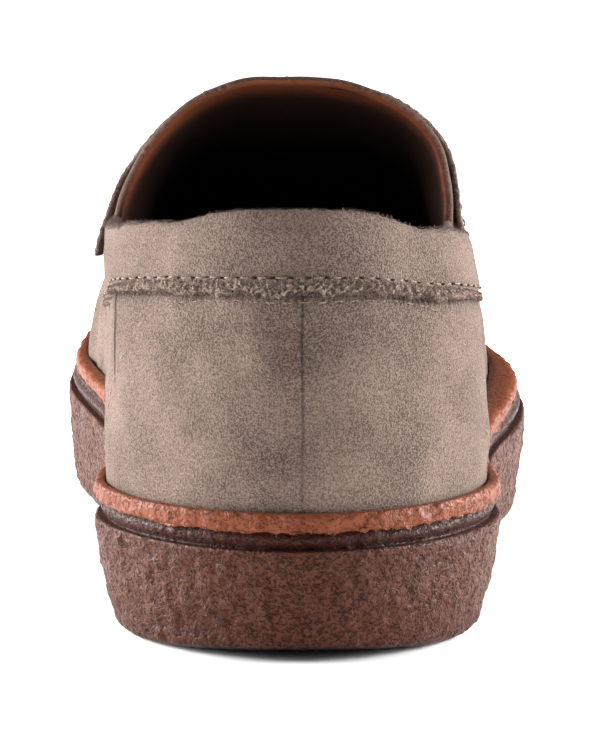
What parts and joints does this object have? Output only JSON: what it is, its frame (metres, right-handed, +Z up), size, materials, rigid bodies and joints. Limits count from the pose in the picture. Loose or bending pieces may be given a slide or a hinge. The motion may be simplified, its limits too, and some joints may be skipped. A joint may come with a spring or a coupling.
{
  "type": "tassel loafer",
  "caption": "Right slip-on loafer in suede with an open collar, saddle strap, tassels and a thick stepped crepe cup sole.",
  "frame": {"origin": "middle of the bounding box's underside, on the floor under the tread", "axes": "+Y from heel to toe, +Z up, +X to the lateral side of this right shoe"},
  "size_m": [0.1094, 0.3, 0.1064],
  "materials": {
    "crepe_rubber": "pebbled satin crepe",
    "crepe_foxing": "pebbled satin crepe",
    "tan_leather": "smooth lining leather",
    "taupe_suede": "suede nap"
  },
  "bodies": {
    "root": {"outsole": "crepe_rubber", "foxing_band": "crepe_foxing", "insole": "tan_leather", "upper": "taupe_suede", "saddle_strap": "taupe_suede", "tassel_knot": "taupe_suede", "tassel_lateral": "taupe_suede", "tassel_medial": "taupe_suede"}
  },
  "joints": []
}
